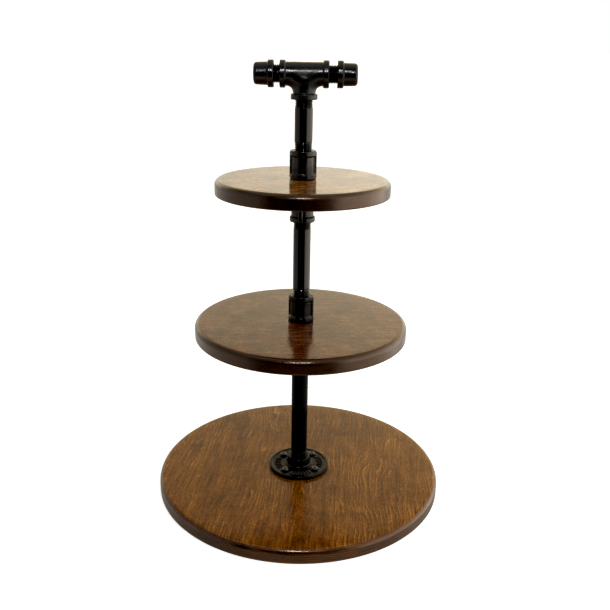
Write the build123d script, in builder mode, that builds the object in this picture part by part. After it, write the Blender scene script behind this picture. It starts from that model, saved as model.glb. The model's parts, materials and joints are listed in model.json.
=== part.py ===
"""Three-tier serving stand: round plywood boards on a post of threaded half-inch iron pipe.

Millimetres, +Z up, origin on the floor at the centre of the base board's underside.
Each board above the base is clamped between two pipe couplings that share one short nipple.
"""

import os

from build123d import *

inch = 25.4
tolerance = 0.01

# Boards
board_thickness = 18.0
base_board_radius = 14.75 * inch / 2
middle_board_radius = 10.625 * inch / 2
top_board_radius = 8.375 * inch / 2
upper_edge_radius = inch / 4
lower_edge_radius = 0.8
post_hole_radius = 7 / 8 * inch / 2

# Half-inch pipe and its taper thread
pipe_radius = 10.67
pipe_bore_radius = 7.9
thread_pitch = inch / 14
thread_taper = 1 / 32
thread_turns = 11
thread_fade_turns = 3
thread_depth = 1.38
crest_radius_at_end = 10.32

# How far each pipe is screwed in
lower_engagement = 10.4
middle_engagement = 9.8
handle_engagement = 9.0

# Nipple lengths, as they are sold
lower_pipe_length = 6.5 * inch
middle_pipe_length = 4.5 * inch
handle_pipe_length = 3.0 * inch
board_nipple_length = 1.5 * inch
close_nipple_length = 1.125 * inch

# Cast fittings
band_radius = 15.5
band_width = 6.5
band_edge_radius = 0.9
fitting_body_radius = 13.6
socket_mouth_radius = 10.7
socket_depth = 14.5
socket_chamfer = 1.0
through_bore_radius = 9.9
coupling_length = 34.0
rib_radius = 16.0
rib_root_radius = 12.4
rib_width = 4.6
rib_corner_radius = 1.2

# Tee
tee_reach = 28.5
tee_run_radius = 13.2
tee_branch_radius = 12.9
tee_branch_bore_radius = 9.7
tee_crotch_radius = 5.5

# End caps: the bare thread that shows beside the tee differs left and right
left_thread_gap = 6.9
right_thread_gap = 9.7
cap_length = 23.3
cap_body_radius = 12.8
cap_end_radius = 12.3
cap_corner_radius = 3.2
cap_cavity_depth = 18.5

# Floor flange and its wood screws
flange_radius = 40.0
flange_plate = 4.2
flange_height = 16.5
flange_corner_radius = 1.2
flange_rim_width = 3.2
flange_relief = 0.8
hub_base_radius = 16.6
hub_top_radius = 14.6
hub_root_radius = 2.2
screw_circle_radius = 28.0
screw_start_angle = 51.0
screw_count = 4
boss_radius = 6.2
screw_hole_radius = 3.0
screw_shank_radius = 2.4
screw_length = 5 / 8 * inch
screw_head_radius = 4.6
screw_head_height = 2.4
screw_head_edge_radius = 1.4
screw_recess_length = 5.5
screw_recess_width = 1.0
screw_recess_depth = 1.3
cast_bar_radius = 29.5
cast_bar_width = 2.6
cast_bar_sweep = 34.0

# Heights that follow, from the floor up
base_top = board_thickness
flange_top = base_top + flange_height
lower_pipe_bottom = flange_top - lower_engagement
middle_lower_coupling_bottom = lower_pipe_bottom + lower_pipe_length - lower_engagement
middle_board_bottom = middle_lower_coupling_bottom + coupling_length
middle_upper_coupling_bottom = middle_board_bottom + board_thickness
middle_pipe_bottom = middle_upper_coupling_bottom + coupling_length - middle_engagement
top_lower_coupling_bottom = middle_pipe_bottom + middle_pipe_length - middle_engagement
top_board_bottom = top_lower_coupling_bottom + coupling_length
top_upper_coupling_bottom = top_board_bottom + board_thickness
handle_pipe_bottom = top_upper_coupling_bottom + coupling_length - handle_engagement
tee_face = handle_pipe_bottom + handle_pipe_length - handle_engagement
tee_axis = tee_face + tee_reach
board_nipple_inset = (board_nipple_length - board_thickness) / 2


def upward(height):
    """Plane for outlines drawn as (radius, height) and turned about the post."""
    return Plane(origin=(0, 0, height), x_dir=(1, 0, 0), z_dir=(0, -1, 0))


def downward(height):
    """Plane for outlines drawn as (radius, depth below the height) and turned about the post."""
    return Plane(origin=(0, 0, height), x_dir=(1, 0, 0), z_dir=(0, 1, 0))


def sideways(distance, side):
    """Plane for outlines turned about the tee's run, outwards to the right (1) or left (-1)."""
    return Plane(origin=(side * distance, 0, tee_axis), x_dir=(0, 1, 0), z_dir=(0, 0, -side))


def turning_axis(plane):
    return Axis(plane.origin, plane.y_dir)


def crest_radius(distance):
    """Radius of the thread's crest at a distance from the pipe's end."""
    return min(pipe_radius, crest_radius_at_end + thread_taper * distance)


def thread_points(turns):
    """(radius, distance from the pipe's end) down the flanks of a thread."""
    points = []
    for turn in range(turns):
        groove = turn * thread_pitch
        fade = max(0, turn - turns + thread_fade_turns) / thread_fade_turns
        root = crest_radius(groove) - thread_depth * (1 - fade)
        points.append((root, groove))
        points.append((crest_radius(groove + thread_pitch / 2), groove + thread_pitch / 2))
    return points


def nipple(plane, length):
    """Pipe of the given length, threaded from both ends, standing on the plane."""
    turns = min(thread_turns, int(length / 2 / thread_pitch))
    rising = thread_points(turns)
    falling = [(radius, length - height) for radius, height in reversed(rising)]
    with BuildPart() as body:
        with BuildSketch(plane):
            with BuildLine():
                Polyline(
                    (pipe_bore_radius, 0),
                    *rising,
                    *falling,
                    (pipe_bore_radius, length),
                    close=True,
                )
            make_face()
        revolve(axis=turning_axis(plane))
    return body


def cut_socket(plane):
    """Cuts a tapered thread socket into the part being built, from the plane along its Y."""
    with BuildSketch(plane) as profile:
        with BuildLine():
            Polyline(
                (0, 0),
                (socket_mouth_radius + socket_chamfer, 0),
                (socket_mouth_radius, socket_chamfer),
                (socket_mouth_radius - thread_taper * socket_depth, socket_depth),
                (0, socket_depth),
                close=True,
            )
        make_face()
    revolve(profile.sketch, axis=turning_axis(plane), mode=Mode.SUBTRACT)


def banded_barrel(plane, length, body_radius, bands):
    """Turned outside of a fitting: a barrel with a band at each of the given heights."""
    with BuildSketch(plane) as profile:
        with Locations((body_radius / 2, length / 2)):
            Rectangle(body_radius, length)
        for height in bands:
            with Locations((band_radius / 2, height + band_width / 2)):
                Rectangle(band_radius, band_width)
        fillet(vertices().filter_by(lambda v: v.X > band_radius - tolerance), band_edge_radius)
    revolve(profile.sketch, axis=turning_axis(plane))


def board(bottom, radius):
    with BuildPart() as body:
        with BuildSketch(Plane.XY.offset(bottom)):
            Circle(radius)
        extrude(amount=board_thickness)
        fillet(edges().group_by(Axis.Z)[-1], upper_edge_radius)
        fillet(edges().group_by(Axis.Z)[0], lower_edge_radius)
    return body


def tier_board(bottom, radius):
    """A board with the hole that its clamping nipple passes through."""
    disc = board(bottom, radius)
    with BuildPart() as body:
        add(disc.part)
        with BuildSketch(Plane.XY.offset(bottom)):
            Circle(post_hole_radius)
        extrude(amount=board_thickness, mode=Mode.SUBTRACT)
    return body


def coupling(bottom, rib_angle):
    """Banded coupling with two opposite wrench ribs and a thread socket at each end."""
    with BuildPart() as body:
        banded_barrel(
            upward(bottom), coupling_length, fitting_body_radius, [0, coupling_length - band_width]
        )
        with BuildSketch(Plane.XY.offset(bottom + band_width / 2)):
            with PolarLocations((rib_root_radius + rib_radius) / 2, 2, start_angle=rib_angle):
                RectangleRounded(rib_radius - rib_root_radius, rib_width, rib_corner_radius)
        extrude(amount=coupling_length - band_width)
        with BuildSketch(Plane.XY.offset(bottom)):
            Circle(through_bore_radius)
        extrude(amount=coupling_length, mode=Mode.SUBTRACT)
        cut_socket(upward(bottom))
        cut_socket(downward(bottom + coupling_length))
    return body


def end_cap(open_face, side):
    """Banded cap whose open face stands at the given distance from the post."""
    plane = sideways(open_face, side)
    with BuildPart() as body:
        with BuildSketch(plane):
            with BuildLine():
                Polyline(
                    (0, 0),
                    (band_radius, 0),
                    (band_radius, band_width),
                    (cap_body_radius, band_width),
                    (cap_end_radius, cap_length),
                    (0, cap_length),
                    close=True,
                )
            make_face()
            fillet(vertices().filter_by(lambda v: v.X > band_radius - tolerance), band_edge_radius)
            corner = vertices().sort_by(lambda v: v.X + v.Y)[-1]
            fillet(corner, cap_corner_radius)
        revolve(axis=turning_axis(plane))
        with BuildSketch(plane):
            with Locations((through_bore_radius / 2, cap_cavity_depth / 2)):
                Rectangle(through_bore_radius, cap_cavity_depth)
        revolve(axis=turning_axis(plane), mode=Mode.SUBTRACT)
        cut_socket(plane)
    return body


# Base: board, flange and screws
with BuildPart() as base_board:
    add(board(0, base_board_radius).part)
    with Locations((0, 0, base_top)):
        with PolarLocations(screw_circle_radius, screw_count, start_angle=screw_start_angle):
            Hole(screw_shank_radius, depth=screw_length - flange_plate - flange_relief)

with BuildPart() as floor_flange:
    with BuildSketch(upward(base_top)):
        with BuildLine():
            Polyline(
                (0, 0),
                (flange_radius, 0),
                (flange_radius, flange_plate + flange_relief),
                (flange_radius - flange_rim_width, flange_plate + flange_relief),
                (flange_radius - flange_rim_width - flange_relief, flange_plate),
                (hub_base_radius, flange_plate),
                (hub_top_radius, flange_height),
                (0, flange_height),
                close=True,
            )
        make_face()
        hub_root = vertices().filter_by(lambda v: abs(v.X - hub_base_radius) < tolerance)
        fillet(hub_root, hub_root_radius)
        rim = vertices().filter_by(lambda v: v.X > flange_radius - tolerance and v.Y > 0)
        fillet(rim, flange_corner_radius)
        hub_top = vertices().filter_by(lambda v: abs(v.X - hub_top_radius) < tolerance)
        fillet(hub_top, band_edge_radius)
    revolve(axis=Axis.Z)
    with BuildSketch(Plane.XY.offset(base_top)):
        with PolarLocations(screw_circle_radius, screw_count, start_angle=screw_start_angle):
            Circle(boss_radius)
        for quarter in range(screw_count):
            start = screw_start_angle + (quarter + 0.5) * 360 / screw_count - cast_bar_sweep / 2
            bar = Edge.make_circle(cast_bar_radius, start_angle=start, end_angle=start + cast_bar_sweep)
            SlotArc(bar, cast_bar_width)
    extrude(amount=flange_plate + flange_relief)
    with Locations((0, 0, base_top + flange_plate + flange_relief)):
        with PolarLocations(screw_circle_radius, screw_count, start_angle=screw_start_angle):
            Hole(screw_hole_radius)
    with BuildSketch(Plane.XY.offset(base_top)):
        Circle(through_bore_radius)
    extrude(amount=flange_height, mode=Mode.SUBTRACT)
    cut_socket(downward(flange_top))

with BuildPart() as flange_screws:
    seat = base_top + flange_plate + flange_relief
    with BuildSketch(Plane.XY.offset(seat)):
        with PolarLocations(screw_circle_radius, screw_count, start_angle=screw_start_angle):
            Circle(screw_head_radius)
    extrude(amount=screw_head_height)
    fillet(edges().group_by(Axis.Z)[-1], screw_head_edge_radius)
    with BuildSketch(Plane.XY.offset(seat - screw_length)):
        with PolarLocations(screw_circle_radius, screw_count, start_angle=screw_start_angle):
            Circle(screw_shank_radius)
    extrude(amount=screw_length)
    with BuildSketch(Plane.XY.offset(seat + screw_head_height)):
        with PolarLocations(screw_circle_radius, screw_count, start_angle=screw_start_angle):
            Rectangle(screw_recess_length, screw_recess_width)
            Rectangle(screw_recess_width, screw_recess_length)
    extrude(amount=-screw_recess_depth, mode=Mode.SUBTRACT)

# Post and tiers
lower_pipe = nipple(upward(lower_pipe_bottom), lower_pipe_length)
middle_lower_coupling = coupling(middle_lower_coupling_bottom, rib_angle=20)
middle_board = tier_board(middle_board_bottom, middle_board_radius)
middle_board_nipple = nipple(upward(middle_board_bottom - board_nipple_inset), board_nipple_length)
middle_upper_coupling = coupling(middle_upper_coupling_bottom, rib_angle=-12)
middle_pipe = nipple(upward(middle_pipe_bottom), middle_pipe_length)
top_lower_coupling = coupling(top_lower_coupling_bottom, rib_angle=-98)
top_board = tier_board(top_board_bottom, top_board_radius)
top_board_nipple = nipple(upward(top_board_bottom - board_nipple_inset), board_nipple_length)
top_upper_coupling = coupling(top_upper_coupling_bottom, rib_angle=0)
handle_pipe = nipple(upward(handle_pipe_bottom), handle_pipe_length)

# Handle
with BuildPart() as handle_tee:
    banded_barrel(
        sideways(-tee_reach, 1), 2 * tee_reach, tee_run_radius, [0, 2 * tee_reach - band_width]
    )
    banded_barrel(upward(tee_face), tee_reach, tee_branch_radius, [0])
    fillet(edges().filter_by(GeomType.BSPLINE), tee_crotch_radius)
    with BuildSketch(sideways(-tee_reach, 1)):
        with Locations((through_bore_radius / 2, tee_reach)):
            Rectangle(through_bore_radius, 2 * tee_reach)
    revolve(axis=turning_axis(sideways(0, 1)), mode=Mode.SUBTRACT)
    with BuildSketch(Plane.XY.offset(tee_face)):
        Circle(tee_branch_bore_radius)
    extrude(amount=tee_reach, mode=Mode.SUBTRACT)
    cut_socket(upward(tee_face))
    for side in (1, -1):
        cut_socket(Plane(origin=(side * tee_reach, 0, tee_axis), x_dir=(0, 1, 0), z_dir=(0, 0, side)))

left_nipple_inset = (close_nipple_length - left_thread_gap) / 2
left_nipple = nipple(sideways(tee_reach - left_nipple_inset, -1), close_nipple_length)
left_cap = end_cap(tee_reach + left_thread_gap, -1)
right_nipple_inset = (close_nipple_length - right_thread_gap) / 2
right_nipple = nipple(sideways(tee_reach - right_nipple_inset, 1), close_nipple_length)
right_cap = end_cap(tee_reach + right_thread_gap, 1)

pieces = {
    "base_board": base_board,
    "floor_flange": floor_flange,
    "flange_screws": flange_screws,
    "lower_pipe": lower_pipe,
    "middle_lower_coupling": middle_lower_coupling,
    "middle_board": middle_board,
    "middle_board_nipple": middle_board_nipple,
    "middle_upper_coupling": middle_upper_coupling,
    "middle_pipe": middle_pipe,
    "top_lower_coupling": top_lower_coupling,
    "top_board": top_board,
    "top_board_nipple": top_board_nipple,
    "top_upper_coupling": top_upper_coupling,
    "handle_pipe": handle_pipe,
    "handle_tee": handle_tee,
    "left_nipple": left_nipple,
    "left_cap": left_cap,
    "right_nipple": right_nipple,
    "right_cap": right_cap,
}

os.makedirs("parts", exist_ok=True)
for name, piece in pieces.items():
    piece.part.label = name
    export_step(piece.part, f"parts/{name}.step")
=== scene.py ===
"""A three-tier cake stand: lacquered plywood boards on a post of black half-inch pipe fittings.

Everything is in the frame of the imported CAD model. Each CAD node is replaced by a finer mesh of the same
size: castings from distance functions, pipes with helical threads, and boards with sanded edges. Objects
are in metres, and the distance functions and thread formulas work in millimetres. All materials are
procedural.
"""

import json
import math

import bpy
import numpy as np
from mathutils import Matrix, Vector, noise


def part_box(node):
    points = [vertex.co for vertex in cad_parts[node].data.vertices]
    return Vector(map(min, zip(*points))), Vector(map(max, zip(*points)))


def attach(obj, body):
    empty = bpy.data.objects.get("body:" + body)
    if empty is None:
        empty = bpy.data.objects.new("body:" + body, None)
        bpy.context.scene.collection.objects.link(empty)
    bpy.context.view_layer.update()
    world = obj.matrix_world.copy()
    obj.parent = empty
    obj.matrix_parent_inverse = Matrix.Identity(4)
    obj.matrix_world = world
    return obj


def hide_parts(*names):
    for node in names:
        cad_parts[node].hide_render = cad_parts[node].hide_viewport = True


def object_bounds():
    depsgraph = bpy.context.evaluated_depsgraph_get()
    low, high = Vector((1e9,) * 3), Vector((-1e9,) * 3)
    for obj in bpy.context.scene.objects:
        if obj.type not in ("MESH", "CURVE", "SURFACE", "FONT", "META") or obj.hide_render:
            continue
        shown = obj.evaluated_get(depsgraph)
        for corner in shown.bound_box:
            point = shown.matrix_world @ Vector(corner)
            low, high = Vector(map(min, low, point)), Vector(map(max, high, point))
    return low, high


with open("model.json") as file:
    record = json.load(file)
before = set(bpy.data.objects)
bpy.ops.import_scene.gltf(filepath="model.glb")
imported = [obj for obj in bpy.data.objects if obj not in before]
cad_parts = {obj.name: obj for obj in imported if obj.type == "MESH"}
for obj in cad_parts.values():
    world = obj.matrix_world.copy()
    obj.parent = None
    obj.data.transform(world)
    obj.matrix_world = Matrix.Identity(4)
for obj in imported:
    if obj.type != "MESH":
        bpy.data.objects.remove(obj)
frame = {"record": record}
cad_low, cad_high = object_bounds()
record = frame["record"]
MM = 0.001
BODY_OF = {node: body for body, nodes in record["behaviour"]["bodies"].items() for node in nodes}


# ---------------------------------------------------------------- camera

LENS = 44.52
CAMERA_PLACE = Vector((0.0179, -0.9090, 0.5638))
PITCH_DOWN, YAW, ROLL = 0.3319, 0.0141, -0.0166


def make_camera():
    """The camera of the main view, which looks down on the stand with a slight turn and lean."""
    right = Vector((math.cos(YAW), math.sin(YAW), 0))
    level = Vector((-math.sin(YAW), math.cos(YAW), 0))
    ahead = level * math.cos(PITCH_DOWN) - Vector((0, 0, math.sin(PITCH_DOWN)))
    up = right.cross(ahead)
    x_axis = right * math.cos(ROLL) - up * math.sin(ROLL)
    y_axis = right * math.sin(ROLL) + up * math.cos(ROLL)
    data = bpy.data.cameras.new("camera")
    data.lens = LENS
    data.sensor_width = 36
    camera = bpy.data.objects.new("camera", data)
    turn = Matrix((x_axis, y_axis, -ahead)).transposed().to_4x4()
    camera.matrix_world = Matrix.Translation(CAMERA_PLACE) @ turn
    bpy.context.scene.collection.objects.link(camera)
    bpy.context.scene.camera = camera


def set_view():
    """Plain display colours. The gamma darkens the middle tones, and the black level deepens the blacks."""
    view = bpy.context.scene.view_settings
    view.view_transform = "Standard"
    view.gamma = 0.8
    view.use_curve_mapping = True
    view.curve_mapping.black_level = (0.008, 0.008, 0.008)


# ---------------------------------------------------------------- node trees

class Tree:
    """Adds nodes to one node tree and wires them in the same call."""

    def __init__(self, tree):
        self.tree = tree
        tree.nodes.clear()

    def add(self, kind, *values, **named):
        """A node of this kind. Values fill its inputs in order, and named ones are settings or inputs."""
        new = self.tree.nodes.new("ShaderNode" + kind)
        sockets = {}
        for key, value in named.items():
            if hasattr(new, key):
                setattr(new, key, value)
            else:
                sockets[key.replace("_", " ")] = value
        for index, value in enumerate(values):
            self.join(new.inputs[index], value)
        for key, value in sockets.items():
            self.join(new.inputs[key], value)
        return new

    def join(self, socket, value):
        if isinstance(value, bpy.types.Node):
            value = value.outputs[0]
        if isinstance(value, bpy.types.NodeSocket):
            self.tree.links.new(value, socket)
        else:
            socket.default_value = value

    def math(self, operation, *values):
        return self.add("Math", *values, operation=operation)

    def vector(self, operation, *values):
        return self.add("VectorMath", *values, operation=operation)

    def span(self, value, low, high, to_low=0.0, to_high=1.0):
        """Smooth change from to_low to to_high while the value goes from low to high."""
        return self.add(
            "MapRange", value, low, high, to_low, to_high, interpolation_type="SMOOTHSTEP"
        )

    def noise(self, place, scale, detail=2.0, roughness=0.5):
        return self.add("TexNoise", Vector=place, Scale=scale, Detail=detail, Roughness=roughness)

    def blend(self, share, first, second):
        """First where the share is 0 and second where it is 1."""
        new = self.add("Mix", data_type="RGBA")
        for socket, value in zip((new.inputs[0], new.inputs[6], new.inputs[7]), (share, first, second)):
            self.join(socket, value)
        return new.outputs[2]

    def ramp(self, value, *stops):
        """Colour ramp through (position, colour) stops."""
        new = self.add("ValToRGB", value)
        elements = new.color_ramp.elements
        while len(elements) < len(stops):
            elements.new(0.5)
        for element, (position, colour) in zip(elements, stops):
            element.position = position
            element.color = (*colour, 1.0)
        return new.outputs[0]


def new_material(name):
    material = bpy.data.materials.new(name)
    material.use_nodes = True
    return material, Tree(material.node_tree)


# ---------------------------------------------------------------- studio

def make_world():
    """A pale backdrop behind, a bright wall to the right, a dim one to the left, a dark front and a ceiling.

    They light the stand and show in its lacquer. The camera itself sees plain white behind the stand.
    """
    world = bpy.data.worlds.new("studio")
    world.use_nodes = True
    bpy.context.scene.world = world
    tree = Tree(world.node_tree)
    x, y, z = tree.add("SeparateXYZ", tree.add("TexCoord").outputs["Generated"]).outputs
    # Height goes from 0, straight down, to 1, straight up. Turn is in degrees from the front, positive to
    # the right.
    height = tree.math("MULTIPLY_ADD", tree.math("ARCSINE", z), 1 / math.pi, 0.5)
    turn = tree.math("DEGREES", tree.math("ARCTAN2", x, tree.math("MULTIPLY", y, -1.0)))
    brightest = 3.0
    dark = (0.0, 0.0, 0.0)
    ceiling = (0.78, 0.76, 0.68)

    def wall(*stops):
        """Radiance of one wall, as a share of the brightest, through (elevation, radiance) stops."""
        return tree.ramp(height, *(
            (elevation / 180 + 0.5, tuple(c / brightest for c in colour)) for elevation, colour in stops
        ))

    front = wall((-38, (1.00, 0.80, 0.58)), (-28, dark), (58, dark), (82, ceiling))
    back = wall(
        (-34, (0.36, 0.345, 0.32)), (-20, (0.80, 0.77, 0.70)), (-3, (0.80, 0.77, 0.70)),
        (7, (1.47, 1.45, 1.28)), (22, (1.64, 1.43, 0.98)), (35, (1.06, 0.90, 0.60)),
        (42, (0.72, 0.58, 0.28)), (52, (0.70, 0.60, 0.46)), (75, ceiling),
    )
    right = wall(
        (-34, (0.60, 0.56, 0.49)), (-26, (0.95, 0.88, 0.76)), (-18, (2.35, 2.15, 1.90)),
        (18, (2.3, 2.2, 2.0)), (55, ceiling),
    )
    left = wall(
        (-34, (0.36, 0.335, 0.30)), (-22, (0.96, 0.90, 0.81)), (-15, (0.64, 0.61, 0.57)),
        (18, (0.66, 0.64, 0.59)), (42, (0.20, 0.18, 0.15)), (60, ceiling),
    )
    # The backdrop is a little brighter to the right. Each wall fades into the next over some degrees, and
    # the side walls meet in front, where the dark front hides them.
    back = tree.vector("MULTIPLY", back, tree.span(x, -0.12, 0.12, 0.91, 1.09))
    side = tree.blend(tree.span(turn, -20, 20), left, right)
    around = tree.blend(tree.span(tree.math("ABSOLUTE", turn), 120, 140), side, back)
    left_part = tree.span(turn, -60, -42, 1.0, 0.0)
    right_part = tree.span(turn, 32, 54)
    radiance = tree.blend(tree.math("MAXIMUM", left_part, right_part), front, around)
    studio = tree.add("Background", radiance, brightest)
    plain = tree.add("Background", (1.0, 1.0, 1.0, 1.0), 1.0)
    seen = tree.add("LightPath").outputs["Is Camera Ray"]
    tree.add("OutputWorld", tree.add("MixShader", seen, studio, plain))


WINDOW_WIDTH, WINDOW_HEIGHT = 0.30, 0.08
WINDOW_WATTS = 6.8
WINDOW_PLACE = Vector((0.0, -1.04, 1.17))


def make_window():
    """A small bright window high in front, for the thin highlights on rims and castings."""
    data = bpy.data.lights.new("window", "AREA")
    data.shape = "RECTANGLE"
    data.size, data.size_y = WINDOW_WIDTH, WINDOW_HEIGHT
    data.energy = WINDOW_WATTS
    light = bpy.data.objects.new("window", data)
    light.location = WINDOW_PLACE
    target = Vector((0, 0, cad_high.z / 2))
    light.rotation_mode = "QUATERNION"
    light.rotation_quaternion = (target - light.location).to_track_quat("-Z", "Y")
    light.visible_camera = False
    bpy.context.scene.collection.objects.link(light)


def make_floor():
    """Pale floor just under the stand. Only the camera sees it, so the studio alone lights the stand."""
    reach, level = 80.0, -0.3 * MM
    mesh = bpy.data.meshes.new("floor")
    corners = [(-reach, -reach), (reach, -reach), (reach, reach), (-reach, reach)]
    mesh.from_pydata([(x, y, level) for x, y in corners], [], [(0, 1, 2, 3)])
    floor = bpy.data.objects.new("floor", mesh)
    bpy.context.scene.collection.objects.link(floor)
    material, tree = new_material("floor")
    place = tree.add("TexCoord").outputs["Object"]
    paint = tree.ramp(tree.noise(place, 3.0, 3.0), (0.3, (0.86, 0.87, 0.89)), (0.7, (0.88, 0.89, 0.91)))
    shader = tree.add(
        "BsdfPrincipled", Base_Color=paint, Roughness=0.9, Emission_Color=(1.0, 1.0, 1.0, 1.0),
        Emission_Strength=0.55,
    )
    tree.add("OutputMaterial", shader)
    mesh.materials.append(material)
    floor.visible_diffuse = False
    floor.visible_glossy = False
    floor.visible_transmission = False


# ---------------------------------------------------------------- materials

PLY = 1.385  # thickness of one ply in millimetres. A board has thirteen.


def in_millimetres(tree):
    """The place in the stand's own frame, in millimetres."""
    return tree.add("Mapping", tree.add("TexCoord").outputs["Object"], Scale=(1 / MM, 1 / MM, 1 / MM))


def moved(tree, start, scale, reach):
    """Places shifted by smooth noise, up to about a quarter of the reach each way."""
    shift = tree.vector("SUBTRACT", tree.noise(start, scale, 2.0).outputs["Color"], (0.5, 0.5, 0.5))
    return tree.vector("ADD", start, tree.vector("MULTIPLY", shift, (*reach, 0.0)))


def mixed(tree, *layers):
    """0.5 plus each (texture, weight) pair, where a texture's own middle is 0.5."""
    level = 0.5
    for texture, weight in layers:
        level = tree.math("ADD", level, tree.math("MULTIPLY_ADD", texture, weight, -weight / 2))
    return level


def veneer(name, grain, seed, stain_and_painted_light, light, figure, mottle, loops, gloss):
    """Stained and lacquered birch, with its grain running at this many degrees from +X.

    The stain is the common colour, and on the middle board it also holds painted shade from the top board
    above. Light is the colour of the palest lines. Figure and mottle are the contrasts of the lines and of
    the clouds, and loops bends the growth rings. Gloss is the lacquer's roughness.
    """
    material, tree = new_material(name)
    place = in_millimetres(tree)
    lie = tree.add(
        "Mapping", place, Location=(seed * 310.0, seed * 170.0, 0.0),
        Rotation=(0.0, 0.0, math.radians(90 - grain)),
    )

    def streaks(start, across, along, detail=2.0, roughness=0.55):
        """Noise drawn out along the grain, with its frequencies per millimetre."""
        return tree.noise(tree.vector("MULTIPLY", start, (across, along, 0.01)), 1.0, detail, roughness)

    # Along the grain is Y from here on, in millimetres. The veneer is peeled off a log, so it wanders.
    lie = moved(tree, moved(tree, lie, 0.007, (16.0, 20.0)), 0.05, (2.6, 6.0))
    fibres = streaks(lie, 0.42, 0.022, 6.0, 0.72)
    strands = streaks(lie, 0.10, 0.007, 3.0)
    pores = tree.span(streaks(lie, 0.95, 0.08, 2.0), 0.60, 0.70)
    flecks = tree.span(streaks(lie, 0.42, 0.10, 3.0), 0.58, 0.74)
    speckle = tree.noise(lie, 0.34, 5.0, 0.72)
    curl = streaks(lie, 0.030, 0.085, 2.0)
    cloud = tree.noise(lie, 0.022, 4.0, 0.62)
    smudge = tree.span(tree.noise(lie, 0.026, 3.0, 0.6), 0.52, 0.70)

    # Growth rings lie a few millimetres apart, each a light line that fades to dark, bent into tall loops.
    bend = tree.math("MULTIPLY", streaks(lie, 0.017, 0.0050, 2.0, 0.5), loops)
    twist = tree.math("MULTIPLY", streaks(lie, 0.070, 0.013, 4.0, 0.6), 2.0)
    across = tree.math("MULTIPLY", tree.add("SeparateXYZ", lie).outputs["X"], 0.17)
    ring = tree.math("FRACT", tree.math("ADD", tree.math("ADD", across, bend), twist))
    rising, falling = tree.span(ring, 0.93, 1.0), tree.span(ring, 0.0, 0.20, 1.0, 0.0)
    shown = tree.span(tree.noise(lie, 0.022, 3.0), 0.42, 0.62, 0.05, 1.15)
    light_line = tree.math("MULTIPLY", shown, tree.math("MAXIMUM", rising, falling))
    late = tree.math("MULTIPLY", tree.span(ring, 0.55, 0.90), tree.span(ring, 0.90, 0.94, 1.0, 0.0))
    dark_line = tree.math("MULTIPLY", shown, late)

    level = mixed(
        tree, (fibres, 1.25 * figure), (strands, 0.45 * figure), (speckle, 1.10), (curl, 0.35 * mottle),
        (cloud, 0.60 * mottle), (flecks, 0.24 * figure), (light_line, 0.30 * figure),
    )
    level = tree.math("ADD", level, 0.10 + 0.20 * figure)
    for texture, weight in ((pores, 0.16), (smudge, 0.24 * mottle), (dark_line, 0.16 * figure)):
        level = tree.math("SUBTRACT", level, tree.math("MULTIPLY", texture, weight))

    def colour_share(red, green, blue):
        return tuple(s * share for s, share in zip(stain_and_painted_light, (red, green, blue)))

    colour = tree.ramp(
        level, (0.08, colour_share(0.26, 0.25, 0.28)), (0.36, colour_share(0.70, 0.67, 0.62)),
        (0.58, colour_share(1.15, 1.20, 1.30)), (0.92, light),
    )
    height = tree.math("SUBTRACT", fibres, tree.math("MULTIPLY", pores, 0.5))
    bump = tree.add("Bump", Strength=0.3, Distance=0.1 * MM, Height=height)
    peel = tree.math("ADD", tree.noise(place, 0.10, 3.0), tree.math("MULTIPLY", height, 0.5))
    coat_bump = tree.add("Bump", Strength=0.6, Distance=0.25 * MM, Height=peel)
    rough = tree.span(tree.noise(place, 0.06, 3.0), 0.3, 0.7, 0.40, 0.55)
    shader = tree.add(
        "BsdfPrincipled", Base_Color=colour, Roughness=rough, Specular_IOR_Level=0.0, Coat_Weight=1.0,
        Coat_Roughness=gloss, Coat_IOR=1.5, Normal=bump, Coat_Normal=coat_bump,
    )
    tree.add("OutputMaterial", shader)
    return material


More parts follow.
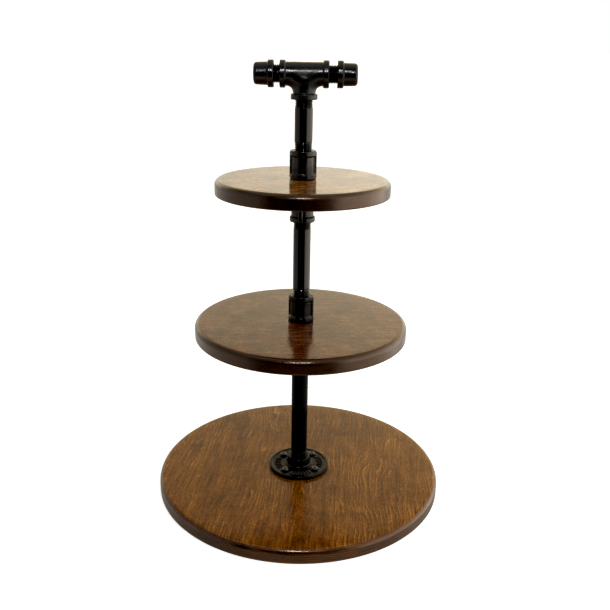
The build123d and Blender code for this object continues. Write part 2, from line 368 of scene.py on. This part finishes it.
def plies(name, bottom, stain_and_painted_light, lacquer):
    """The stained rim: veneers in turn along and across, with thin glue lines, from the board's bottom up.

    The stain is the common colour, with painted light and shade in it that differ from board to board.
    Lacquer is how much the rim shines, from 0 to 1.
    """
    material, tree = new_material(name)
    place = in_millimetres(tree)
    up = tree.math("SUBTRACT", tree.add("SeparateXYZ", place).outputs["Z"], bottom / MM)
    wander = tree.math("MULTIPLY_ADD", tree.noise(place, 0.018, 2.0), 1.2, -0.6)
    layer = tree.math("DIVIDE", tree.math("ADD", up, wander), PLY)
    across = tree.math("GREATER_THAN", tree.math("FRACT", tree.math("MULTIPLY", layer, 0.5)), 0.5)
    glue = tree.math("ABSOLUTE", tree.math("SUBTRACT", tree.math("FRACT", layer), 0.5))
    glue = tree.span(glue, 0.36, 0.5)
    end_grain = tree.noise(tree.vector("MULTIPLY", place, (0.30, 0.30, 0.90)), 1.0, 4.0, 0.6)
    long_grain = tree.noise(tree.vector("MULTIPLY", place, (0.04, 0.04, 0.9)), 1.0, 4.0, 0.6)
    level = mixed(
        tree, (end_grain, 0.55), (long_grain, 1.00), (across, 0.16), (tree.noise(place, 0.03, 3.0), 0.60),
        (glue, -0.22),
    )
    colour = tree.ramp(level, *(
        (at, tuple(s * share for s in stain_and_painted_light)) for at, share in ((0.20, 0.3), (0.50, 1.0), (0.90, 6.0))
    ))
    fibres = tree.math("ADD", long_grain, tree.math("MULTIPLY", end_grain, 0.5))
    bump = tree.add("Bump", Strength=0.6, Distance=0.45 * MM, Height=fibres)
    peel = tree.math("ADD", tree.noise(place, 0.10, 3.0), tree.math("MULTIPLY", fibres, 0.4))
    coat_bump = tree.add("Bump", Strength=0.6, Distance=0.35 * MM, Height=peel)
    rough = tree.span(tree.noise(place, 0.06, 3.0), 0.3, 0.7, 0.26, 0.38)
    shader = tree.add(
        "BsdfPrincipled", Base_Color=colour, Roughness=rough, Specular_IOR_Level=1.05 * lacquer,
        Specular_Tint=(1.0, 0.60, 0.35, 1.0), Coat_Weight=lacquer, Coat_Roughness=0.16, Coat_IOR=1.5,
        Normal=bump, Coat_Normal=coat_bump,
    )
    tree.add("OutputMaterial", shader)
    return material


def black_paint(name, roughness, grit, peel, ior):
    """Black lacquer over iron, worn along its edges and a little dusty.

    Grit is the metal's skin, and peel the paint's own waviness. The textures' frequencies are per metre.
    """
    material, tree = new_material(name)
    place = tree.add("TexCoord").outputs["Object"]
    sand = tree.noise(place, 900.0, 3.0, 0.6)
    waves = tree.noise(place, 170.0, 2.0)
    lumps = tree.noise(place, 70.0, 3.0, 0.55)
    dust = tree.span(tree.noise(place, 2200.0, 2.0), 0.66, 0.74)
    paint = tree.ramp(lumps, (0.3, (0.0045, 0.0045, 0.005)), (0.7, (0.009, 0.009, 0.0095)))
    edges = tree.span(tree.add("NewGeometry").outputs["Pointiness"], 0.54, 0.62)
    worn = tree.math("MULTIPLY", edges, tree.span(sand, 0.45, 0.65))
    colour = tree.blend(tree.math("MULTIPLY", worn, 0.5), paint, (0.03, 0.03, 0.031, 1.0))
    colour = tree.blend(tree.math("MULTIPLY", dust, 0.25), colour, (0.05, 0.048, 0.045, 1.0))
    dulled = tree.math("ADD", lumps, tree.math("MULTIPLY", worn, 0.3))
    rough = tree.span(dulled, 0.3, 0.8, roughness * 0.8, roughness * 1.5)
    height = tree.math("ADD", tree.math("MULTIPLY", sand, grit), tree.math("MULTIPLY", waves, peel))
    bump = tree.add("Bump", Strength=1.0, Distance=0.1 * MM, Height=height)
    shader = tree.add("BsdfPrincipled", Base_Color=colour, Roughness=rough, IOR=ior, Normal=bump)
    tree.add("OutputMaterial", shader)
    return material


# ---------------------------------------------------------------- pieces

def piece(name, points, faces, node, material):
    """A new object that stands for a CAD node and rides on the same body."""
    mesh = bpy.data.meshes.new(name)
    mesh.from_pydata(np.asarray(points).tolist(), [], list(faces))
    mesh.validate()
    mesh.polygons.foreach_set("use_smooth", [True] * len(mesh.polygons))
    mesh.materials.append(material)
    new = bpy.data.objects.new(name, mesh)
    bpy.context.scene.collection.objects.link(new)
    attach(new, BODY_OF[node])
    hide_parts(node)
    return new


def wrapped_grid(rows, columns):
    """Quads between rows of points, closed both ways, where point index = row * columns + column."""
    row, column = np.meshgrid(np.arange(rows), np.arange(columns), indexing="ij")
    next_row, next_column = (row + 1) % rows, (column + 1) % columns
    corners = (
        row * columns + column, row * columns + next_column,
        next_row * columns + next_column, next_row * columns + column,
    )
    return np.stack([c.ravel() for c in corners], axis=1)


def rolling(points, scale, seed):
    """Smooth noise from -1 to 1 at each point, with lumps about 1 / scale wide."""
    shift = Vector((seed * 7.3, seed * 3.1, seed * 5.7))
    return np.array([noise.noise(Vector(p) * scale + shift) for p in points])


# Boards

HOLE_RADIUS = 11.1 * MM
UPPER_ROUND = 6.35 * MM
LOWER_ROUND = 0.8 * MM
BOARD_COLUMNS = 288


def board_outline(radius, thickness):
    """Half the section of a board, as (radius, height): the underside, the rim, and back over the top."""
    step = 0.7 * MM
    outline = [(r, 0.0) for r in np.linspace(HOLE_RADIUS, radius - LOWER_ROUND, 14)]
    outline += [
        (radius - LOWER_ROUND * (1 - math.sin(t)), LOWER_ROUND * (1 - math.cos(t)))
        for t in np.radians((10, 40, 70))
    ]
    outline += [(radius, z) for z in np.arange(2 * step, thickness - UPPER_ROUND, step)]
    outline += [
        (radius - UPPER_ROUND * (1 - math.cos(t)), thickness - UPPER_ROUND * (1 - math.sin(t)))
        for t in np.linspace(0, math.pi / 2, 14)
    ]
    outline += [(r, thickness) for r in np.linspace(radius - UPPER_ROUND, HOLE_RADIUS, 14)[1:]]
    return np.array(outline)


def make_board(node, face, face_depth, stain_and_painted_light, lacquer, seed):
    """A board with a sanded rim. The tiers have a hole for the post, and the base has none.

    The roundover cuts through the face veneer, which shows this many millimetres down. Below it are the
    plies, with this colour and lacquer; the colour is the stain with painted light and shade in it.
    """
    low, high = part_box(node)
    radius, thickness = high.x, high.z - low.z
    outline = board_outline(radius, thickness)
    r = np.repeat(outline[:, 0], BOARD_COLUMNS)
    z = np.repeat(outline[:, 1], BOARD_COLUMNS)
    turn = np.tile(np.linspace(0, 2 * math.pi, BOARD_COLUMNS, endpoint=False), len(outline))
    points = np.stack([r * np.cos(turn), r * np.sin(turn), z], axis=1)

    # Sanding leaves the rim slightly uneven, in long and short waves. It only takes wood away.
    uneven = 0.12 * MM * (1 + rolling(points, 22, seed)) + 0.03 * MM * (1 + rolling(points, 160, seed))
    near_rim = np.clip((r - radius + 9 * MM) / (7 * MM), 0, 1)
    points[:, :2] *= (1 - uneven * near_rim / np.maximum(r, MM))[:, None]
    points[:, 2] += low.z

    faces = wrapped_grid(len(outline), BOARD_COLUMNS).tolist()
    veneered = (outline[:, 1] == 0) | (outline[:, 1] > thickness - face_depth * MM)
    on_rim = np.repeat(~(veneered & np.roll(veneered, -1)), BOARD_COLUMNS).tolist()
    if node == "base_board":
        # Two round faces take the place of the hole's wall.
        faces = faces[:-BOARD_COLUMNS]
        faces.append(list(range(BOARD_COLUMNS))[::-1])
        faces.append(list(range(len(points) - BOARD_COLUMNS, len(points))))
        on_rim = on_rim[:-BOARD_COLUMNS] + [False, False]
    board = piece(node + "_wood", points, faces, node, face)
    board.data.materials.append(plies(node + "_rim", low.z, stain_and_painted_light, lacquer))
    board.data.polygons.foreach_set("material_index", on_rim)


# Castings. Lengths are in millimetres from here on, up to the assembly.

def joined(first, second, fillet):
    """Distance to both shapes together, with a fillet of about this size where they meet."""
    share = np.clip(0.5 + 0.5 * (second - first) / fillet, 0, 1)
    return second + (first - second) * share - fillet * share * (1 - share)


def cut(first, second, rounding):
    """Distance to the first shape without the second, with its new edges rounded."""
    return -joined(-first, second, rounding)


def turned(radial, along, radius, start, end, rounding):
    """Distance to a cylinder between two places on its axis, with rounded edges."""
    out = radial - (radius - rounding)
    past = np.abs(along - (start + end) / 2) - (abs(end - start) / 2 - rounding)
    outside = np.hypot(np.maximum(out, 0), np.maximum(past, 0))
    return np.minimum(np.maximum(out, past), 0) + outside - rounding


def block(x, y, z, half, rounding):
    """Distance to a box centred on the origin, with rounded edges."""
    past = [np.abs(c) - (h - rounding) for c, h in zip((x, y, z), half)]
    outside = np.sqrt(sum(np.maximum(p, 0) ** 2 for p in past))
    return np.minimum(np.maximum.reduce(past), 0) + outside - rounding


def surface_of(distance, low, high, cell):
    """Points, quads and outward normals of the surface where the distance is 0, all in millimetres.

    Each cell that the surface crosses gets one point, each crossed edge of the grid gets one quad, and the
    points then slide onto the surface. The grid starts a broken number of cells before the box, so that no
    flat face lies along its planes.
    """
    before, after = 1.63 * cell, 2.6 * cell
    axes = [np.arange(a - before, b + after, cell) for a, b in zip(low, high)]
    value = distance(*np.meshgrid(*axes, indexing="ij"))
    inside = value < 0
    corners = np.array([(i, j, k) for i in (0, 1) for j in (0, 1) for k in (0, 1)])
    size = np.array(value.shape) - 1
    count = np.zeros(size, int)
    for i, j, k in corners:
        count += inside[i:i + size[0], j:j + size[1], k:k + size[2]]
    cells = np.argwhere((count > 0) & (count < 8))
    index = np.full(size, -1)
    index[tuple(cells.T)] = np.arange(len(cells))

    total = np.zeros((len(cells), 3))
    crossings = np.zeros(len(cells))
    for a in corners:
        for axis in range(3):
            if a[axis]:
                continue
            b = a.copy()
            b[axis] = 1
            at_a, at_b = value[tuple((cells + a).T)], value[tuple((cells + b).T)]
            crossed = (at_a < 0) != (at_b < 0)
            share = np.where(crossed, at_a / np.where(crossed, at_a - at_b, 1), 0)
            total += crossed[:, None] * (a + share[:, None] * (b - a))
            crossings += crossed
    points = np.array([a[0] for a in axes]) + (cells + total / crossings[:, None]) * cell

    quads = []
    for axis in range(3):
        u, v = (axis + 1) % 3, (axis + 2) % 3
        step, step_u, step_v = np.eye(3, dtype=int)[[axis, u, v]]
        ahead = np.roll(inside, -1, axis)
        starts = np.argwhere(inside != ahead)
        starts = starts[(starts[:, u] > 0) & (starts[:, v] > 0) & (starts[:, axis] < size[axis])]
        starts = starts[(starts[:, u] < size[u]) & (starts[:, v] < size[v])]
        ring = [starts - step_u - step_v, starts - step_v, starts, starts - step_u]
        quad = np.stack([index[tuple(c.T)] for c in ring], axis=1)
        leaving = inside[tuple(starts.T)]
        quads.append(np.where(leaving[:, None], quad, quad[:, ::-1]))
    quads = np.concatenate(quads)

    reach, least_steep = 0.02, 0.2
    for _ in range(3):
        there = distance(*points.T)
        slope = np.stack([
            distance(*(points + reach * side).T) - distance(*(points - reach * side).T)
            for side in np.eye(3)
        ], axis=1) / (2 * reach)
        steep = np.maximum((slope ** 2).sum(axis=1), least_steep)
        points -= np.clip(there / steep, -cell, cell)[:, None] * slope
    return points, quads, slope / np.sqrt(steep)[:, None]


def cast(name, node, distance, low, high, cell, material, seed, roughness=0.11):
    """A casting: the surface of a distance function, with the uneven skin that sand leaves.

    Roughness is how far the skin lies below the true surface, in millimetres, in broad and fine dents.
    """
    points, quads, outward = surface_of(distance, low, high, cell)
    broad, fine = rolling(points, 0.22, seed) - 0.6, 0.35 * rolling(points, 0.9, seed + 1)
    points += outward * np.minimum(roughness * (broad + fine), 0)[:, None]
    piece(name, points * MM, quads, node, material)


# Every mouth has a raised band round it, and a socket for a taper thread.
BAND_RADIUS = 15.5
BAND_WIDTH = 6.5
BAND_EDGE = 1.1
BAND_FILLET = 1.3
BORE_RADIUS = 10.72
MOUTH = 0.9
TAPER = 1 / 32

# The flange's four screws.
SCREW_CIRCLE = 28.0
SCREW_TURN = math.radians(51)


def bore_radius(deep):
    """Radius of a socket for a taper thread at this depth, with a chamfered mouth."""
    return BORE_RADIUS - deep * TAPER + MOUTH * np.clip(1 - deep, 0, 1)


def seam(outer, away, ridge=0.22, width=0.5):
    """Raises a thin parting line where the distance away from the mould's plane is 0."""
    return outer - ridge * np.exp(-(away / width) ** 2)


def coupling(x, y, z, length, rib_turn):
    """Banded coupling, from z = 0 up, with two opposite wrench ribs and a narrower bore in the middle."""
    body_radius, relief_radius, relief_depth = 13.6, 9.9, 14.5
    rib_place, rib_half, rib_inset = 13.8, 2.2, 1.5
    r = np.hypot(x, y)
    shape = turned(r, z, body_radius, 0.5, length - 0.5, 0.6)
    for start in (0, length - BAND_WIDTH):
        band = turned(r, z, BAND_RADIUS, start, start + BAND_WIDTH, BAND_EDGE)
        shape = joined(shape, band, BAND_FILLET)
    c, s = math.cos(rib_turn), math.sin(rib_turn)
    out, side = np.abs(c * x + s * y), -s * x + c * y
    rib = block(out - rib_place, side, z - length / 2, (rib_half, rib_half, length / 2 - rib_inset), 1.1)
    shape = joined(shape, rib, 1.2)
    shape = seam(shape, side)
    deep = np.minimum(z, length - z)
    return cut(shape, r - np.where(deep > relief_depth, relief_radius, bore_radius(deep)), 0.5)


def end_cap(x, r, side, length):
    """Banded cap that opens at x = 0 and closes at x = length, its body narrowing towards the closed end."""
    body_radius, body_edge, draft, band_width, hollow_depth = 12.9, 3.4, 0.035, 6.7, 18.5
    body = turned(r + draft * (x - BAND_WIDTH), x, body_radius, 0.5, length, body_edge)
    shape = joined(body, turned(r, x, BAND_RADIUS, 0, band_width, BAND_EDGE), BAND_FILLET)
    shape = np.maximum(seam(shape, side), r - BAND_RADIUS)
    hollow = turned(r, x, BORE_RADIUS - 0.3, -9, hollow_depth, 0.5)
    shape = cut(shape, hollow, 0.5)
    mouth = r - (BORE_RADIUS + MOUTH - x)
    return cut(shape, np.maximum(mouth, x - 2.0), 0.4)


def tee(x, y, z, reach):
    """Tee with its run along X and its branch down along -Z. Each of its three mouths is at the reach."""
    run_radius, branch_radius, crotch_fillet = 13.2, 12.9, 9.0
    run, branch = np.hypot(y, z), np.hypot(x, y)
    drop = -z
    shape = turned(run, x, run_radius, -reach + 0.5, reach - 0.5, 0.6)
    shape = joined(shape, turned(branch, drop, branch_radius, 5.5, reach - 0.5, 3.0), crotch_fillet)
    bands = turned(run, np.abs(x), BAND_RADIUS, reach - BAND_WIDTH, reach, BAND_EDGE)
    bands = np.minimum(bands, turned(branch, drop, BAND_RADIUS, reach - BAND_WIDTH, reach, BAND_EDGE))
    shape = joined(shape, bands, BAND_FILLET)
    shape = np.maximum(seam(shape, y), z - BAND_RADIUS)
    for radial, along in ((run, np.abs(x)), (branch, drop)):
        shape = cut(shape, np.maximum(radial - bore_radius(reach - along), -along), 0.5)
    return shape


def flange(x, y, z, radius, height):
    """Floor flange standing on z = 0, with four screw bosses and short raised ribs between them.

    The plate, the hub and the bosses start a little lower and are cut off at z = 0, for a flat foot.
    """
    plate_top, rim_top, boss_top, edge_fillet = 4.3, 5.0, 5.0, 0.8
    rim_inset, rim_half = 2.0, 1.7
    hub_radius, hub_draft, hub_fillet = 16.2, 0.12, 3.4
    boss_radius, hole_radius, sink = 6.4, 3.0, 1.6
    rib_spacing, rib_half = math.radians(8), (4.2, 1.15, 2.7)
    r, turn = np.hypot(x, y), np.arctan2(y, x)
    plate = turned(r, z, radius, -2.0, plate_top, 1.3)
    rim = turned(np.abs(r - radius + rim_inset), z, rim_half, 0, rim_top, 0.8)
    shape = joined(plate, rim, edge_fillet)
    hub = turned(r + hub_draft * (z - rim_top), z, hub_radius, -2.0, height, 1.2)
    shape = joined(shape, hub, hub_fillet)

    # The four quarters are alike, so each point is turned into one of them, with its screw in the middle.
    quarter = math.pi / 2
    around = np.mod(turn - SCREW_TURN + quarter / 2, quarter) - quarter / 2
    out, side = r * np.cos(around) - SCREW_CIRCLE, r * np.sin(around)
    off_screw = np.hypot(out, side)
    shape = joined(shape, turned(off_screw, z, boss_radius, -1.0, boss_top, 0.6), edge_fillet)
    between = np.mod(turn - SCREW_TURN, quarter) - quarter / 2
    nearest = np.clip(np.round(between / rib_spacing), -3, 3) * rib_spacing
    rib = block(r - SCREW_CIRCLE - 0.5, (between - nearest) * r, z - 2.5, rib_half, 0.8)
    shape = joined(shape, rib, edge_fillet)
    shape = cut(shape, off_screw - hole_radius - sink * np.clip(z - 4.0, 0, 1), 0.3)
    shape = cut(shape, r - bore_radius(height - z), 0.5)
    return np.maximum(shape, -z)


def make_castings(paint, handle_paint, flange_paint):
    cell = 0.5
    rib_turns = {
        "middle_lower_coupling": 20, "middle_upper_coupling": -12,
        "top_lower_coupling": -98, "top_upper_coupling": 0,
    }
    past_ribs = 16.4
    for seed, (node, turn) in enumerate(rib_turns.items(), 11):
        low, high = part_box(node)
        base, length = low.z / MM, (high.z - low.z) / MM
        cast(
            node + "_casting", node,
            lambda x, y, z: coupling(x, y, z - base, length, math.radians(turn)),
            (-past_ribs, -past_ribs, base), (past_ribs, past_ribs, base + length), cell, paint, seed,
        )
    low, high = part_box("handle_tee")
    level = high.z / MM - BAND_RADIUS
    reach = high.x / MM
    cast(
        "handle_tee_casting", "handle_tee", lambda x, y, z: tee(x, y, z - level, reach),
        low / MM, high / MM, cell, handle_paint, 21,
    )
    for node, way, seed in (("left_cap", -1, 31), ("right_cap", 1, 32)):
        low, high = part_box(node)
        mouth = (low.x if way > 0 else -high.x) / MM
        length = (high.x - low.x) / MM
        cast(
            node + "_casting", node,
            lambda x, y, z: end_cap(way * x - mouth, np.hypot(y, z - level), y, length),
            low / MM, high / MM, cell, handle_paint, seed,
        )
    low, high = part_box("floor_flange")
    foot, height = low.z / MM, (high.z - low.z) / MM
    cast(
        "floor_flange_casting", "floor_flange",
        lambda x, y, z: flange(x, y, z - foot, high.x / MM, height),
        low / MM, high / MM, cell, flange_paint, 41,
    )


# Screws

HEAD_RADIUS = 4.6
HEAD_HEIGHT = 2.4


def screw(x, y, z, seat, length):
    """Pan-head wood screw with a cross recess, its head standing on z = seat."""
    shank_radius, thread_height, pitch, point_length = 1.8, 0.5, 1.8, 4.5
    arm_half, arm_length, recess_depth = 0.62, 2.5, 1.5
    r = np.hypot(x, y)
    head = turned(r, z, HEAD_RADIUS, seat, seat + HEAD_HEIGHT, 1.3)
    bottom = seat - length
    phase = np.mod(z / pitch - np.arctan2(y, x) / (2 * math.pi), 1)
    ridge = thread_height * np.clip(1 - np.abs(phase - 0.5) * 5, 0, 1)
    point = np.clip((z - bottom) / point_length, 0, 1)
    shank = np.maximum(r - (shank_radius + ridge) * point, np.maximum(bottom - z, z - seat - 1))
    shape = joined(head, shank, 0.4)

    # The recess narrows from the head's top down, where the height above the head is negative.
    above = z - (seat + HEAD_HEIGHT)
    arm = arm_half + 0.25 * above / 1.4
    reach = arm_length + 0.9 * above
    cross = np.minimum(
        np.maximum(np.abs(x) - arm, np.abs(y) - reach), np.maximum(np.abs(y) - arm, np.abs(x) - reach)
    )
    return cut(shape, np.maximum(cross, -above - recess_depth), 0.15)


def make_screws(paint):
    low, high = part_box("flange_screws")
    seat = high.z / MM - HEAD_HEIGHT
    length = (high.z - low.z) / MM - HEAD_HEIGHT
    past_head = HEAD_RADIUS + 0.1
    drive_turns = (0.35, 1.1, 0.7, 0.15)
    for index, drive in enumerate(drive_turns):
        turn = SCREW_TURN + index * math.pi / 2
        centre_x, centre_y = SCREW_CIRCLE * math.cos(turn), SCREW_CIRCLE * math.sin(turn)
        c, s = math.cos(drive), math.sin(drive)

        def shape(x, y, z):
            across, along = x - centre_x, y - centre_y
            return screw(c * across + s * along, c * along - s * across, z, seat, length)

        cast(
            f"flange_screw_{index + 1}", "flange_screws", shape,
            (centre_x - past_head, centre_y - past_head, low.z / MM),
            (centre_x + past_head, centre_y + past_head, high.z / MM),
            0.3, paint, 51 + index, roughness=0.02,
        )


# Pipes

PIPE_RADIUS = 10.67
PIPE_BORE = 7.9
PIPE_COLUMNS = 96
PITCH = 25.4 / 14
THREAD_LENGTH = 11 * PITCH
THREAD_DEPTH = 1.38
END_RADIUS = 10.32


def thread_radius(place, turn, from_end):
    """Radius of a right-hand taper thread, from its place along the axis and round it.

    Its crests and roots are slightly flat, and it runs out over its last three turns.
    """
    root_flat, flank_width = 0.07, 0.84
    crest = np.minimum(PIPE_RADIUS, END_RADIUS + from_end * TAPER)
    phase = np.mod(place / PITCH - turn / (2 * math.pi), 1)
    flank = np.clip((np.abs(2 * phase - 1) - root_flat) / flank_width, 0, 1)
    depth = THREAD_DEPTH * np.clip((THREAD_LENGTH - from_end) / (3 * PITCH), 0, 1)
    return crest - depth * (1 - flank)


def make_pipe(node, paint, axis=2):
    """A nipple along one axis, threaded from both ends and chamfered outside and inside."""
    chamfer_radius, chamfer_slope = 9.3, 1.2
    bore_mouth, bore_chamfer = 8.5, 0.8
    low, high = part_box(node)
    length = (high[axis] - low[axis]) / MM
    threaded = min(THREAD_LENGTH + 0.5, length / 2)
    near = np.arange(0.4, threaded, PITCH / 12)
    plain = np.linspace(threaded, length - threaded, max(2, int((length - 2 * threaded) / 6)))
    outer_place = np.concatenate([[0.0], near, plain[1:-1], length - near[::-1], [length]])
    inner_place = np.array([length, length - bore_chamfer, length / 2, bore_chamfer, 0.0])
    inner_radius = np.array([bore_mouth, PIPE_BORE, PIPE_BORE, PIPE_BORE, bore_mouth])

    # Rows run up the outside and back down the bore.
    turn = np.linspace(0, 2 * math.pi, PIPE_COLUMNS, endpoint=False)
    place, around = np.meshgrid(np.concatenate([outer_place, inner_place]), turn, indexing="ij")
    outer, outer_turn = place[:len(outer_place)], around[:len(outer_place)]
    from_end = np.minimum(outer, length - outer)
    radius = thread_radius(outer, outer_turn, from_end)
    radius = np.minimum(radius, chamfer_radius + from_end * chamfer_slope)
    radius = np.concatenate([radius, np.repeat(inner_radius[:, None], PIPE_COLUMNS, 1)])
    points = np.stack([radius * np.cos(around), radius * np.sin(around), place], axis=-1).reshape(-1, 3)
    if axis == 0:
        points = points[:, [2, 0, 1]]
    start = (low + high) / 2
    start[axis] = low[axis]
    faces = wrapped_grid(len(place), PIPE_COLUMNS)
    piece(node + "_threaded", points * MM + np.array(start), faces, node, paint)


# ---------------------------------------------------------------- assembly

make_camera()
set_view()
make_world()
make_window()
make_floor()

base_face = veneer(
    "base_face", grain=86, seed=1, stain_and_painted_light=(0.203, 0.074, 0.0068), light=(0.42, 0.200, 0.040),
    figure=1.12, mottle=0.6, loops=12.0, gloss=0.17,
)
# The middle board's stain is about half as bright as the others': partly the board's own darker stain,
# partly painted shade from the top board above it.
middle_face = veneer(
    "middle_face", grain=4, seed=2, stain_and_painted_light=(0.106, 0.0260, 0.0034), light=(0.215, 0.118, 0.055),
    figure=1.0, mottle=1.3, loops=7.0, gloss=0.13,
)
top_face = veneer(
    "top_face", grain=28, seed=3, stain_and_painted_light=(0.215, 0.084, 0.0060), light=(0.54, 0.30, 0.088),
    figure=1.5, mottle=1.1, loops=7.0, gloss=0.12,
)
# The rims' colours are stain plus painted light: the base's rim is lighter, painted light from the bright
# floor in front of it, and the tiers' rims are near black, painted shade where their fronts get no light.
make_board("base_board", base_face, face_depth=PLY, stain_and_painted_light=(0.030, 0.0120, 0.0040), lacquer=0.70, seed=1)
make_board("middle_board", middle_face, face_depth=0.30, stain_and_painted_light=(0.007, 0.0020, 0.0008), lacquer=0.75, seed=2)
make_board("top_board", top_face, face_depth=0.01, stain_and_painted_light=(0.005, 0.0014, 0.0006), lacquer=0.75, seed=3)

cast_paint = black_paint("cast_paint", roughness=0.22, grit=0.45, peel=0.6, ior=1.62)
handle_paint = black_paint("handle_paint", roughness=0.25, grit=0.75, peel=0.5, ior=1.58)
flange_paint = black_paint("flange_paint", roughness=0.15, grit=0.90, peel=1.4, ior=1.36)
# The lower pipe's paint is a copy of the pipe paint that reflects less: painted shade, for the shade the
# pipe stands in under the middle board.
shaded_lower_paint = black_paint("shaded_lower_paint", roughness=0.15, grit=0.04, peel=0.12, ior=1.20)
pipe_paint = black_paint("pipe_paint", roughness=0.13, grit=0.04, peel=0.12, ior=1.6)
screw_paint = black_paint("screw_paint", roughness=0.15, grit=0.10, peel=0.1, ior=2.0)
make_castings(cast_paint, handle_paint, flange_paint)
make_screws(screw_paint)
make_pipe("lower_pipe", shaded_lower_paint)
for node in ("middle_board_nipple", "middle_pipe", "top_board_nipple", "handle_pipe"):
    make_pipe(node, pipe_paint)
for node in ("left_nipple", "right_nipple"):
    make_pipe(node, pipe_paint, axis=0)
